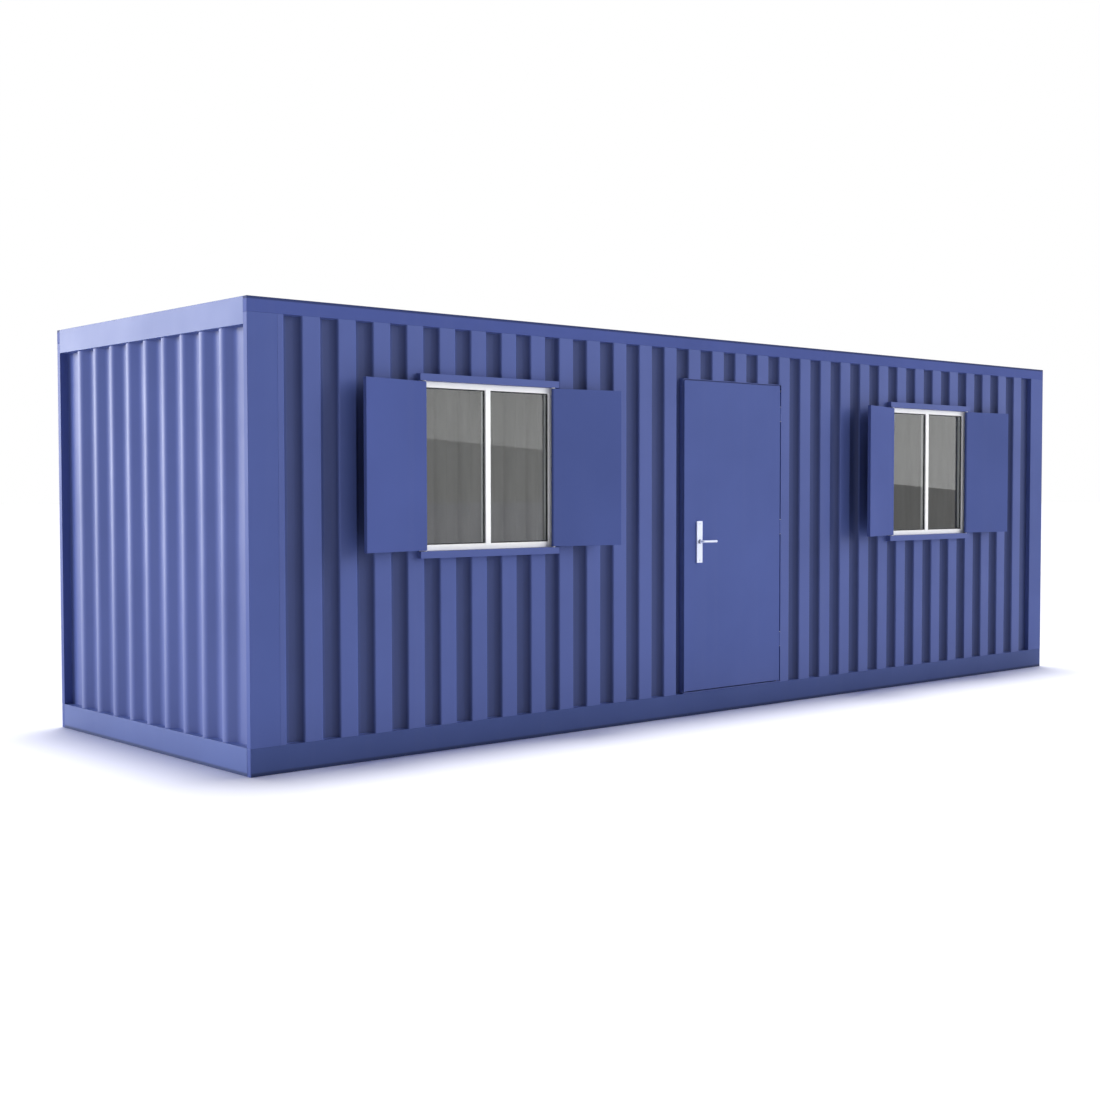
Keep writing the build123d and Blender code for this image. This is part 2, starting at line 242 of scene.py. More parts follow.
broad_light("key_front_right", (1.45, -1, 0.5), 54, 0.9)
broad_light("ceiling", (0.1, 0, 1), 60, 0.36)
broad_light("side_left", (-1, 0.85, 0.4), 30, 1.22)
broad_light("fill_back_right", (0.5, 0.9, 0.6), 40, 0.12)
overhead = broad_light("overhead_floor_light", (0.09, 0.1, 1), 18, 1.25)
overhead.light_linking.receiver_collection = floor_only
print("broad lamps", len(bpy.data.lights))

# %% Panel lamps
RIM_TOWARD = Vector((-0.45, 0.89, 0.1)).normalized()
RIM_AWAY = 17
RIM_CENTRE = Vector((cad_low.x, 0, 2.0))
RIM_SIZE = (7, 6)
RIM_LEVEL = 0.66
ROOM_SIZE = (5.5, 0.8)
ROOM_WATTS = 8
ROOM_PLACE = (-0.8, 0.1)
ROOM_DROP = 0.3


def panel_light(name, size, watts):
    """The data of a rectangular lamp."""
    data = bpy.data.lights.new(name, "AREA")
    data.shape = "RECTANGLE"
    data.size, data.size_y = size
    data.energy = watts
    return data


rim = panel_light("rim_back_left", RIM_SIZE, RIM_LEVEL * (math.pi * RIM_AWAY) ** 2)
rim_lamp = hang_lamp("rim_back_left", rim, RIM_CENTRE + RIM_TOWARD * RIM_AWAY, RIM_TOWARD, gloss=True)
rim_lamp.visible_diffuse = False
ceiling_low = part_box("top_side_rail_front")[0].z
room = panel_light("room_fill", ROOM_SIZE, ROOM_WATTS)
hang_lamp("room_fill", room, (*ROOM_PLACE, ceiling_low - ROOM_DROP), (0, -0.5, 1))
print("all lamps", len(bpy.data.lights))

# %% [markdown]
# ## Cards for the window panes
# Glass shows little of itself: what the eye sees is a faint mirror image of the studio.
# So a studio sets up a white card whose edge crosses the pane as a line,
# which tells the eye that glass is there.
# This one stands far in front of the cabin. Only mirror-like rays see it, so it lights nothing.
# A grey panel, called a flag, stands to its right, where the glass and the paint are seen at a flat angle
# and would mirror too much white.

# %% Reflection cards
GLASS_FRONT_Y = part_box("left_window_glass")[0].y
EDGE_PLANE = Vector((0.0567, 0.0844, 0.9948))
CARD_Y = -26.0
CARD_TOP = 60.0
CARD_LEFT, CARD_RIGHT = -20.0, 66.0
CARD_GLOW = 1.9
FLAG_LEFT, FLAG_RIGHT = 31.0, 140.0
FLAG_GLOW = 0.7
mirrored_eye = Vector((EYE.x, 2 * GLASS_FRONT_Y - EYE.y, EYE.z))


def card_edge(x):
    """The point of the card's slanting lower edge at x, on the plane that crosses the panes."""
    step = Vector((x, CARD_Y, 0)) - mirrored_eye
    rise = -(EDGE_PLANE.x * step.x + EDGE_PLANE.y * step.y) / EDGE_PLANE.z
    return Vector((x, CARD_Y, mirrored_eye.z + rise))


def glowing_card(name, corners, glow):
    """A panel that only mirror-like rays see, with an even glow where 1 is the white of the studio."""
    card = stage_card(name, corners)
    card.visible_camera = False
    card.visible_diffuse = False
    card.visible_shadow = False
    finish = bpy.data.materials.new(name + "_cloth")
    finish.use_nodes = True
    finish.node_tree.nodes.clear()
    light = add_node(finish.node_tree, "ShaderNodeEmission", {"Strength": glow})
    add_node(finish.node_tree, "ShaderNodeOutputMaterial", {"Surface": light})
    card.data.materials.append(finish)


def top_corners(left, right, y):
    """The two upper corners of a card, from right to left."""
    return [(right, y, CARD_TOP), (left, y, CARD_TOP)]


card_foot = [card_edge(CARD_LEFT), card_edge(CARD_RIGHT)]
glowing_card("white_reflection_card", card_foot + top_corners(CARD_LEFT, CARD_RIGHT, CARD_Y), CARD_GLOW)
FLAG_Y = CARD_Y - 1
flag_foot = [(FLAG_LEFT, FLAG_Y, 0), (FLAG_RIGHT, FLAG_Y, 0)]
glowing_card("grey_flag", flag_foot + top_corners(FLAG_LEFT, FLAG_RIGHT, FLAG_Y), FLAG_GLOW)
print("card edge from", [[round(c, 2) for c in point] for point in card_foot])

# %% [markdown]
# ## Paint on steel
# The cabin is mild steel sheet and plate, degreased, primed and sprayed with a satin blue topcoat.
# Sprayed paint is never quite one colour: the film is thicker in places, rain leaves faint upright streaks,
# and the surface has a fine ripple called orange peel.
# Orange peel is about 3 mm across, too fine to show from here, so it is drawn at 12 mm.
# Thin sheet also bows a little between its folds, which a very wide and shallow bump gives.
# Road dust gathers near the ground, where rain doesn't wash it off. A dark line at the foot and under the
# eaves, and a darker film down in the grooves, are painted shade.

# %% Patterns
ORANGE_PEEL = 12 * MM
STREAK_WIDTH = 70 * MM
STREAK_LENGTH = 1800 * MM
CLOUD_SIZE = 700 * MM
BOW_SIZE = 450 * MM
MIDDLE = (0.3, 0.7)  # where most values of a noise pattern lie


def patches(tree, place, sizes, detail):
    """A cloudy pattern whose patches have real sizes in metres: one size, or one along each of X, Y and Z."""
    along = sizes if isinstance(sizes, tuple) else (sizes, sizes, sizes)
    per_patch = {"Vector": place, "Scale": tuple(1 / size for size in along)}
    mapped = add_node(tree, "ShaderNodeMapping", per_patch)
    look = {"Vector": mapped, "Scale": 1.0, "Detail": detail, "Roughness": 0.55}
    return add_node(tree, "ShaderNodeTexNoise", look)


def shaded(tree, pattern, span, first, second, least=0.0, most=1.0):
    """A colour that goes from first to second as pattern crosses span, by a share from least to most."""
    reach = {"Value": pattern, "From Min": span[0], "From Max": span[1], "To Min": least, "To Max": most}
    share = add_node(tree, "ShaderNodeMapRange", reach)
    return add_node(tree, "ShaderNodeMix", {"Factor": share, "A": first, "B": second}, data_type="RGBA")


print("orange peel", ORANGE_PEEL, "m, clouds", CLOUD_SIZE, "m, streaks", STREAK_LENGTH, "m long")

# %% Finishes


def new_finish(name):
    """A new material, its node tree, and the place on the object for its patterns."""
    finish = bpy.data.materials.new(name)
    finish.use_nodes = True
    return finish, finish.node_tree, add_node(finish.node_tree, "ShaderNodeTexCoord").outputs["Object"]


def dress(tree, colour, bump, pattern, span, roughness):
    """Gives a finish its colour, its bump, and a roughness from first to last as pattern crosses span."""
    shader = tree.nodes["Principled BSDF"]
    first, last = roughness
    reach = {"Value": pattern, "From Min": span[0], "From Max": span[1], "To Min": first, "To Max": last}
    feed(tree, shader.inputs["Roughness"], add_node(tree, "ShaderNodeMapRange", reach))
    feed(tree, shader.inputs["Base Color"], colour)
    feed(tree, shader.inputs["Normal"], bump)
    return shader


def tinted(colour, share):
    """A colour times share, where more than 1 is lighter."""
    return tuple(min(1.0, c * share) for c in colour[:3]) + (1.0,)


print("a finish fades over", MIDDLE, "of its pattern")

# %% Dust and painted shade on paint
DUST_TOP = 0.45
# Road dust is real; the dark line and the film in the grooves, with their strengths and colours below, are
# painted shade.
SHADE_LINE_STRENGTH = 0.55
GROOVE_SHADE_DEPTH = (2 * MM, 14 * MM)
GROOVE_SHADE_STRENGTH = 0.46
ROAD_DUST = linear("6E6A66")
SHADE_LINE_COLOUR = linear("15171D")
GROOVE_SHADE_COLOUR = linear("14171F")


def with_dust_and_painted_shade(tree, colour, place, clouds, dust, shade_line, flush):
    """A paint's colour under road dust, with painted shade as a dark line and as a darker film in the
    grooves, where each is named.
    """
    _, depth, height = add_node(tree, "ShaderNodeSeparateXYZ", {0: place}).outputs
    if dust:
        reach = {"Value": height, "From Min": 0.0, "From Max": DUST_TOP, "To Min": dust, "To Max": 0.0}
        low_down = add_node(tree, "ShaderNodeMapRange", reach)
        share = add_node(tree, "ShaderNodeMath", {0: low_down, 1: clouds}, operation="MULTIPLY")
        dusty = {"Factor": share, "A": colour, "B": ROAD_DUST}
        colour = add_node(tree, "ShaderNodeMix", dusty, data_type="RGBA")
    # A dark line of painted shade, at the foot or under the eaves.
    if shade_line:
        start, full = shade_line
        shares = (0.0, SHADE_LINE_STRENGTH) if start < full else (SHADE_LINE_STRENGTH, 0.0)
        colour = shaded(tree, height, sorted(shade_line), colour, SHADE_LINE_COLOUR, *shares)
    # Painted shade: a darker film down in the grooves, behind the flats.
    if flush:
        flats, outward = flush
        span = [flats - outward * behind for behind in GROOVE_SHADE_DEPTH]
        colour = shaded(tree, depth, span, colour, GROOVE_SHADE_COLOUR, most=GROOVE_SHADE_STRENGTH)
    return colour


print("dust up to", DUST_TOP, "m, film at full strength", GROOVE_SHADE_DEPTH[1], "m down a groove")

# %% Steel paint
COAT_EDGE = (0.1, 0.12)  # how squarely a face points inward where the inner coat starts and is full
THIN_FILM, THICK_FILM = 0.94, 1.05  # how light the coat is where it is thin and thick, against its colour
STREAK_SPAN = (0.52, 0.85)
STREAK_STRENGTH = 0.2
RAIN_SHARE = 0.1
RAIN_GREY = linear("95979E")
SHEEN_SPAN = (0.25, 0.75)
PEEL_DEPTH = 0.25 * MM


def with_inside(tree, colour, normal, clouds, inside, inward):
    """A paint's colour with another coat on the faces that point along inward."""
    sign, axis = inward
    facing = add_node(tree, "ShaderNodeSeparateXYZ", {0: normal}).outputs["XYZ".index(axis)]
    if sign == "=":
        facing = add_node(tree, "ShaderNodeMath", {0: facing}, operation="ABSOLUTE")
    if sign == "-":
        facing = add_node(tree, "ShaderNodeMath", {0: facing, 1: -1.0}, operation="MULTIPLY")
    coat = shaded(tree, clouds, MIDDLE, inside, tinted(inside, 0.9))
    return shaded(tree, facing, COAT_EDGE, colour, coat)


def steel_paint(name, shade, roughness=0.44, gloss=0.16, dust=0.0, shade_line=None, flush=None,
                bow=0.0, inside=None, inward=None):
    """Sprayed satin paint on steel: a soft sheen over a colour that is a little uneven.

    gloss is its specular level, and bow how far the sheet bows, in metres.
    dust is how much road dust lies on it near the ground.
    shade_line is the height where a dark line of painted shade starts and the height where it is full.
    flush is the Y of a grooved wall's flats and the sign of Y outward from them:
    behind it, a darker film of painted shade darkens the grooves.
    inside is another coat on the faces that point along inward: a sign and 'X', 'Y' or 'Z',
    where the sign '=' means both ways.
    """
    paint, tree, place = new_finish(name)
    clouds = patches(tree, place, CLOUD_SIZE, 3.0)
    streaks = patches(tree, place, (STREAK_WIDTH, STREAK_WIDTH, STREAK_LENGTH), 2.0)
    colour = shaded(tree, clouds, MIDDLE, tinted(shade, THIN_FILM), tinted(shade, THICK_FILM))
    washed = tuple((1 - RAIN_SHARE) * c + RAIN_SHARE * grey for c, grey in zip(shade, RAIN_GREY))
    colour = shaded(tree, streaks, STREAK_SPAN, colour, washed, most=STREAK_STRENGTH)
    colour = with_dust_and_painted_shade(tree, colour, place, clouds, dust, shade_line, flush)
    if inside:
        colour = with_inside(tree, colour, place.node.outputs["Normal"], clouds, inside, inward)
    peel = patches(tree, place, ORANGE_PEEL, 1.0)
    bump = add_node(tree, "ShaderNodeBump", {"Height": peel, "Distance": PEEL_DEPTH, "Strength": 0.25})
    if bow:
        bowing = {"Height": patches(tree, place, BOW_SIZE, 0.0), "Distance": bow, "Strength": 1.0}
        bump = add_node(tree, "ShaderNodeBump", {**bowing, "Normal": bump})
    shader = dress(tree, colour, bump, clouds, SHEEN_SPAN, (roughness + 0.05, roughness - 0.04))
    shader.inputs["Specular IOR Level"].default_value = gloss
    return paint


print("streaks", STREAK_STRENGTH, "strong, orange peel", PEEL_DEPTH, "m deep")

# %% Paints by slot
BLUE = linear("4C5A96")
GREY_PRIMER = linear("B9BABB")
# Heights of the dark lines of painted shade at the foot of the rails and under the eaves.
FOOT_SHADE_LINE = (24 * MM, 14 * MM)
EAVES_SHADE_LINE = (cad_high.z - 18 * MM, cad_high.z - 11 * MM)
# The planes of the grooved walls' flats, behind which painted shade darkens the grooves.
FRONT_FLUSH = (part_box("front_wall_left_end")[0].y, -1)
REAR_FLUSH = (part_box("rear_wall")[1].y, 1)
FOLDED = {"bow": 0.8 * MM, "inside": GREY_PRIMER}
END_WALL = {"roughness": 0.5, "gloss": 0.46, "bow": 0.4 * MM, "inside": GREY_PRIMER}
LEAF_SKIN = {"roughness": 0.5, "gloss": 0.05, "bow": 0.5 * MM}
paints = {
    # The base rails are a darker blue except on their faces along X, which keep the plain blue: this darker
    # blue is painted shade near the ground, with a dark line of painted shade at the foot.
    "base_paint": steel_paint(
        "base_rail_paint", linear("3E4D84"), gloss=0.08, dust=0.1, shade_line=FOOT_SHADE_LINE, inside=BLUE, inward="=X"
    ),
    "frame_paint": steel_paint("frame_paint", BLUE, gloss=0.08),
    "wall_paint": steel_paint("folded_wall_paint", BLUE, inward="+Y", flush=FRONT_FLUSH, **FOLDED),
    "surround_paint": steel_paint("window_surround_paint", BLUE),
    "shutter_paint": steel_paint("shutter_paint", BLUE, **LEAF_SKIN),
    "door_frame_paint": steel_paint("door_frame_paint", BLUE),
    "door_paint": steel_paint("door_leaf_paint", BLUE, gloss=0.06, dust=0.12, bow=0.5 * MM),
    "roof_paint": steel_paint("roof_paint", BLUE, roughness=0.55, inward="-Z", **FOLDED),
    "underframe_paint": steel_paint("underframe_paint", linear("3A4052"), roughness=0.6, dust=0.6),
}
print("paints by slot", sorted(paints))

# %% [markdown]
# Some pieces have a paint of their own, which is found by a part of the piece's name.
# The rear and end walls face their own way inside, and the end walls have a higher gloss.
# The darker blue of the left leaves and the top rails is painted shade,
# and the lighter, greyer blue of the end rails is a painted sheen.

# %% Paints of single pieces
own_paints = {
    "rear_wall": steel_paint("rear_wall_paint", BLUE, inward="-Y", flush=REAR_FLUSH, **FOLDED),
    "end_wall_left": steel_paint("left_end_wall_paint", BLUE, inward="+X", **END_WALL),
    "end_wall_right": steel_paint("right_end_wall_paint", BLUE, inward="-X", **END_WALL),
    # The left leaves are a darker blue, which is painted shade.
    "_shutter_left": steel_paint("left_leaf_shaded_paint", linear("46538D"), **LEAF_SKIN),
    # The top rails are a darker blue, which is painted shade, with a dark line of painted shade under the
    # eaves.
    "top_side_rail": steel_paint("top_rail_shaded_paint", linear("4A5794"), gloss=0.03, shade_line=EAVES_SHADE_LINE),
    # The end rails are a lighter, greyer blue, which is a painted sheen, with a dark line of painted shade at
    # the foot.
    "_end_rail_": steel_paint("end_rail_sheen_paint", linear("54639A"), gloss=0.15, shade_line=FOOT_SHADE_LINE),
}
print("own paints", sorted(own_paints))

# %% [markdown]
# ## White profile, glass, rubber, metal and board
# The window frames are extruded white PVC-u, which is smooth, slightly soft in its gloss,
# and faintly uneven in tone.
# Float glass is a clear sheet: it bends light with an IOR of 1.5, and a thin film of dust lies on it.
# It is floated on a bath of molten tin, which leaves long and very shallow waves.
# The handle is satin anodised aluminium, drawn through a die, so it has fine lines along its length.
# The floor is birch plywood with a clear sealer, laid in sheets 1220 mm wide.

# %% White profile and rubber
# Extruded PVC-u gives a clean, even white with a soft gloss.
white_profile, tree, place = new_finish("white_pvcu_profile")
tone = patches(tree, place, 160 * MM, 3.0)
grain = patches(tree, place, 6 * MM, 1.0)
dress(
    tree,
    shaded(tree, tone, MIDDLE, linear("F8F8FA"), linear("FEFEFE")),
    add_node(tree, "ShaderNodeBump", {"Height": grain, "Distance": 0.1 * MM, "Strength": 0.15}),
    tone, MIDDLE, (0.38, 0.30),
)

# Extruded EPDM rubber is a dull black with a grey bloom.
gasket_rubber, tree, place = new_finish("black_epdm_rubber")
bloom = patches(tree, place, 40 * MM, 3.0)
dress(
    tree,
    shaded(tree, bloom, (0.35, 0.7), linear("1E1F21"), linear("34363A")),
    add_node(tree, "ShaderNodeBump", {"Height": bloom, "Distance": 0.2 * MM, "Strength": 0.3}),
    bloom, MIDDLE, (0.6, 0.75),
)
print("made", white_profile.name, gasket_rubber.name)

# %% Float glass
# The pane is clear to the eye and mirrors a little, and light passes it with almost no loss.
float_glass, tree, place = new_finish("float_glass")
dust_film = patches(tree, place, (90 * MM, 90 * MM, 500 * MM), 3.0)
waves = patches(tree, place, (350 * MM, 350 * MM, 900 * MM), 0.0)
glass_shader = dress(
    tree,
    shaded(tree, dust_film, (0.35, 0.75), linear("F2F5F4"), linear("E4E7E6")),
    add_node(tree, "ShaderNodeBump", {"Height": waves, "Distance": 0.1 * MM, "Strength": 0.5}),
    dust_film, (0.45, 0.85), (0.0, 0.03),
)
glass_shader.inputs["IOR"].default_value = 1.5
glass_shader.inputs["Transmission Weight"].default_value = 1.0
clear = add_node(tree, "ShaderNodeBsdfTransparent", {"Color": linear("F1F3F2")})
path = add_node(tree, "ShaderNodeLightPath").outputs
light_rays = {0: path["Is Shadow Ray"], 1: path["Is Diffuse Ray"]}
lit_ray = add_node(tree, "ShaderNodeMath", light_rays, operation="MAXIMUM")
pane = add_node(tree, "ShaderNodeMixShader", {0: lit_ray, 1: glass_shader, 2: clear})
feed(tree, tree.nodes["Material Output"].inputs["Surface"], pane)
print("made", float_glass.name)

# %% Handle metal and zinc
# The clear film of anodised aluminium softens the metal's mirror to a satin, so it counts as part metal.
# The die's lines are under 0.1 mm apart, too fine to show from here, so they are drawn at 1.5 mm.
handle_metal, tree, place = new_finish("satin_anodised_aluminium")
lines = patches(tree, place, (1.5 * MM, 1.5 * MM, 60 * MM), 2.0)
handle_shader = dress(
    tree,
    shaded(tree, lines, MIDDLE, linear("CED4E9"), linear("DBE0F3")),
    add_node(tree, "ShaderNodeBump", {"Height": lines, "Distance": 0.05 * MM, "Strength": 0.2}),
    lines, MIDDLE, (0.36, 0.46),
)
handle_shader.inputs["Metallic"].default_value = 0.55

# Zinc plating is a pale grey metal, and a little cloudy, which breaks up what it mirrors.
zinc_plate, tree, place = new_finish("zinc_plated_steel")
spangle = patches(tree, place, 8 * MM, 2.0)
zinc_shader = dress(
    tree,
    shaded(tree, spangle, MIDDLE, linear("A9ADB2"), linear("C9CCD0")),
    add_node(tree, "ShaderNodeBump", {"Height": spangle, "Distance": 0.05 * MM, "Strength": 0.2}),
    spangle, MIDDLE, (0.3, 0.45),
)
zinc_shader.inputs["Metallic"].default_value = 1.0
print("made", handle_metal.name, zinc_plate.name)

# %% Plywood
# Sealed birch shows warm brown grain along the floor, and a dark joint where two sheets meet.
SHEET_WIDTH = 1220 * MM
JOINT_WIDTH = 2.5 * MM
sealed_plywood, tree, place = new_finish("sealed_birch_plywood")
grain = patches(tree, place, (500 * MM, 14 * MM, 14 * MM), 4.0)
figure = patches(tree, place, (900 * MM, 120 * MM, 120 * MM), 2.0)
wood = shaded(tree, grain, MIDDLE, linear("A5815A"), linear("C09C72"))
wood = shaded(tree, figure, (0.4, 0.75), wood, linear("8F6B47"), most=0.5)
along_floor = add_node(tree, "ShaderNodeSeparateXYZ", {0: place}).outputs["X"]
from_joint = add_node(tree, "ShaderNodeMath", {0: along_floor, 1: SHEET_WIDTH}, operation="PINGPONG")
groove = add_node(tree, "ShaderNodeMapRange", {"Value": from_joint, "From Max": JOINT_WIDTH})
grain_bump = add_node(tree, "ShaderNodeBump", {"Height": grain, "Distance": 0.3 * MM, "Strength": 0.2})
joint_dip = {"Height": groove, "Distance": 1.0 * MM, "Strength": 1.0, "Normal": grain_bump}
dress(
    tree,
    shaded(tree, from_joint, (0.0, JOINT_WIDTH), wood, linear("2B211A"), least=1.0, most=0.0),
    add_node(tree, "ShaderNodeBump", joint_dip),
    figure, MIDDLE, (0.5, 0.35),
)
print("made", sealed_plywood.name)

# %% [markdown]
# ## Folded and rounded steel
# A press brake can't fold steel to a knife edge: the outside of each bend is an arc,
# and it catches a thin line of light. The bends at the foot of a groove are wider still.
# The CAD keeps its long folds sharp, so each painted piece is copied, its loose triangles are merged back
# into faces, and the edges between two wide faces are rounded with bmesh's bevel.
# The copy then stands for the CAD piece.
# Weighted normals keep the flats flat while the arcs shade smoothly.

# %% Adding a piece
slot_of = {part["node"]: part["material_slot"] for part in frame["record"]["subparts"]}
body_of = {node: body for body, nodes in frame["record"]["behaviour"]["bodies"].items() for node in nodes}
SMOOTH_TURN = math.radians(40)


def add_piece(name, shape, material, body):
    """Makes an object from a bmesh, gives it a material, and lets it ride on a body."""
    mesh = bpy.data.meshes.new(name)
    shape.to_mesh(mesh)
    shape.free()
    mesh.shade_smooth()
    mesh.set_sharp_from_angle(angle=SMOOTH_TURN)
    piece = bpy.data.objects.new(name, mesh)
    bpy.context.scene.collection.objects.link(piece)
    piece.data.materials.append(material)
    weigh = piece.modifiers.new("flat_faces_stay_flat", "WEIGHTED_NORMAL")
    weigh.keep_sharp = True
    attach(piece, body)
    return piece


# %% Choosing and rounding edges
CORNER_TURN = math.radians(25)
ROOM_FOR_ARC = 2.4
ALONG_FOLD = 0.99


def bevel(shape, edges, reach, segments):
    """Rounds edges, starting each arc at reach from its edge."""
    bmesh.ops.bevel(
        shape,
        geom=edges,
        offset=reach,
        offset_type="OFFSET",
        segments=segments,
        profile=0.5,
        affect="EDGES",
        material=-1,
        clamp_overlap=True,
    )


def narrowest(edge):
    """The width of the narrower of the two faces that meet at an edge."""
    return min(face.calc_area() for face in edge.link_faces) / edge.calc_length()


def rounds(edge, radius, along):
    """Whether an edge is a corner with room for an arc and, where along is given, runs along it."""
    if len(edge.link_faces) != 2 or edge.calc_face_angle(0) < CORNER_TURN:
        return False
    run = (edge.verts[1].co - edge.verts[0].co).normalized()
    return narrowest(edge) >= ROOM_FOR_ARC * radius and (not along or abs(run.dot(along)) >= ALONG_FOLD)


print("an arc needs faces", ROOM_FOR_ARC, "times as wide as its radius")

# %% Rounding a CAD piece
MERGE = 0.02 * MM
FLAT_TURN = math.radians(0.5)
VALLEY_FROM = 15 * MM
VALLEY_SHARE = 0.6
VALLEY_SEGMENTS = 6
ARC_SEGMENTS = 3


def rounded(node, radius, material, along=None, valley=0.0, outward=None):
    """A copy of a CAD piece with the edges between its wide faces rounded. It stands for the piece.

    A folded sheet names the direction along its folds.
    The folds at the bottom of its grooves, seen against outward, get the wider radius valley.
    """
    shape = bmesh.new()
    shape.from_mesh(frame["nodes"][node].data)
    bmesh.ops.remove_doubles(shape, verts=shape.verts, dist=MERGE)
    bmesh.ops.dissolve_limit(shape, angle_limit=FLAT_TURN, verts=shape.verts, edges=shape.edges)
    low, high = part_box(node)
    turns = {}
    front = max(low.dot(outward), high.dot(outward)) if valley else 0.0
    for edge in [e for e in shape.edges if rounds(e, radius, along)]:
        reach = radius
        if valley and front - edge.verts[0].co.dot(outward) > VALLEY_FROM:
            reach = min(valley, round(VALLEY_SHARE * narrowest(edge), 4))
        turns.setdefault(reach, []).append(edge)
    for reach, edges in sorted(turns.items(), reverse=True):
        bevel(shape, edges, reach, ARC_SEGMENTS if reach <= radius else VALLEY_SEGMENTS)
    piece = add_piece(node + "_finished", shape, material, body_of[node])
    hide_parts(node)
    return piece


print("arcs have", ARC_SEGMENTS, "segments, and", VALLEY_SEGMENTS, "at the foot of a groove")

# %% Rounded copies of the painted pieces
UP = Vector((0, 0, 1))
VALLEY = 24 * MM
ARC_RADIUS_MM = {
    "base_paint": 4,
    "frame_paint": 4,
    "wall_paint": 6,
    "roof_paint": 6,
    "surround_paint": 2,
    "shutter_paint": 3,
    "door_frame_paint": 2,
    "door_paint": 2.5,
    "underframe_paint": 3,
    "window_white": 3,
    "handle_metal": 2.5,
}
LEVER_ARC_MM = 1.2
finishes = {**paints, "window_white": white_profile, "handle_metal": handle_metal}
for node, slot in slot_of.items():
    if slot not in ARC_RADIUS_MM:
        continue
    radius = (LEVER_ARC_MM if node == "door_lever_set" else ARC_RADIUS_MM[slot]) * MM
    material = next((own_paints[words] for words in own_paints if words in node), finishes[slot])
    folds = {}
    if slot == "wall_paint":
        outward = Vector((0, 1 if node == "rear_wall" else -1, 0))
        folds = {"along": UP, "valley": VALLEY, "outward": outward}
    if slot == "roof_paint":
        folds = {"along": Vector((0, 1, 0))}
    piece = rounded(node, radius, material, **folds)
    print(node, len(piece.data.polygons))

# %% [markdown]
# ## CAD pieces that keep their own mesh
# The panes, the floor and the end walls already have the right shape: their arcs are in the CAD.
# So they keep their mesh and only get a better material.

# %% Materials of the kept pieces
kept = {"floor_deck": sealed_plywood}
kept.update({node: own_paints[node] for node in ("end_wall_left", "end_wall_right")})
kept.update({node: float_glass for node, slot in slot_of.items() if slot == "window_glass"})
for node, material in kept.items():
    frame["nodes"][node].data.materials.clear()
    frame["nodes"][node].data.materials.append(material)
print("kept", sorted(kept))

# %% [markdown]
# ## Glazing gaskets
# A pane is held in its frame by a strip of black EPDM rubber on each side, pushed in after the glass.
# It could be a swept profile, but here a rectangle is inset to a ring,
# and the ring is extruded off the glass.
# The front edges are bevelled, because a soft extruded strip has no sharp edge.

# %% Gaskets
GLASS_BITE = 8 * MM
MULLION = 40 * MM
GASKET_WIDTH = 7 * MM
GASKET_PROUD = 4 * MM
SOFT_EDGE = 0.4


def standing_rectangle(shape, x, y, z):
    """A rectangle that stands across the depth y, between pairs of x and z."""
    corners = bmesh.ops.create_grid(shape, x_segments=1, y_segments=1, size=0.5)["verts"]
    bmesh.ops.scale(shape, vec=(x[1] - x[0], z[1] - z[0], 1), verts=corners)
    bmesh.ops.rotate(shape, matrix=Matrix.Rotation(math.pi / 2, 3, "X"), verts=corners)
    bmesh.ops.translate(shape, vec=((x[0] + x[1]) / 2, y, (z[0] + z[1]) / 2), verts=corners)
    return corners[0].link_faces[0]


def strip_ring(shape, x, y, z, wide, proud):
    """A ring of soft strip inside a rectangle at depth y, which stands proud along Y, or -Y if negative."""
    middle = standing_rectangle(shape, x, y, z)
    sides = bmesh.ops.inset_region(
        shape, faces=[middle], thickness=wide, use_boundary=True, use_even_offset=True
    )["faces"]
    bmesh.ops.delete(shape, geom=[middle], context="FACES_ONLY")
    pulled = bmesh.ops.extrude_face_region(shape, geom=sides)["geom"]
    front = [v for v in pulled if isinstance(v, bmesh.types.BMVert)]
    bmesh.ops.translate(shape, vec=(0, proud, 0), verts=front)
    rim = [e for e in pulled if isinstance(e, bmesh.types.BMEdge) and e.calc_face_angle(0) > CORNER_TURN]
    bevel(shape, rim, abs(proud) * SOFT_EDGE, 2)
    bmesh.ops.recalc_face_normals(shape, faces=shape.faces)


for window in ("left_window", "right_window"):
    low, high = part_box(window + "_glass")
    centre = (low.x + high.x) / 2
    height = (low.z + GLASS_BITE, high.z - GLASS_BITE)
    shape = bmesh.new()
    for x in ((low.x + GLASS_BITE, centre - MULLION / 2), (centre + MULLION / 2, high.x - GLASS_BITE)):
        strip_ring(shape, x, low.y, height, GASKET_WIDTH, -GASKET_PROUD)
        strip_ring(shape, x, high.y, height, GASKET_WIDTH, GASKET_PROUD)
    gasket = add_piece(window + "_gaskets", shape, gasket_rubber, "cabin")
    print(gasket.name, len(gasket.data.polygons), "faces")

# %% [markdown]
# ## Door seal
# A strip of the same rubber lies on the face of the jambs and the head, where the leaf's lip closes on it.
# It is the ring again, cut off square above the threshold by a plane,
# because the leaf sweeps over the sill there.

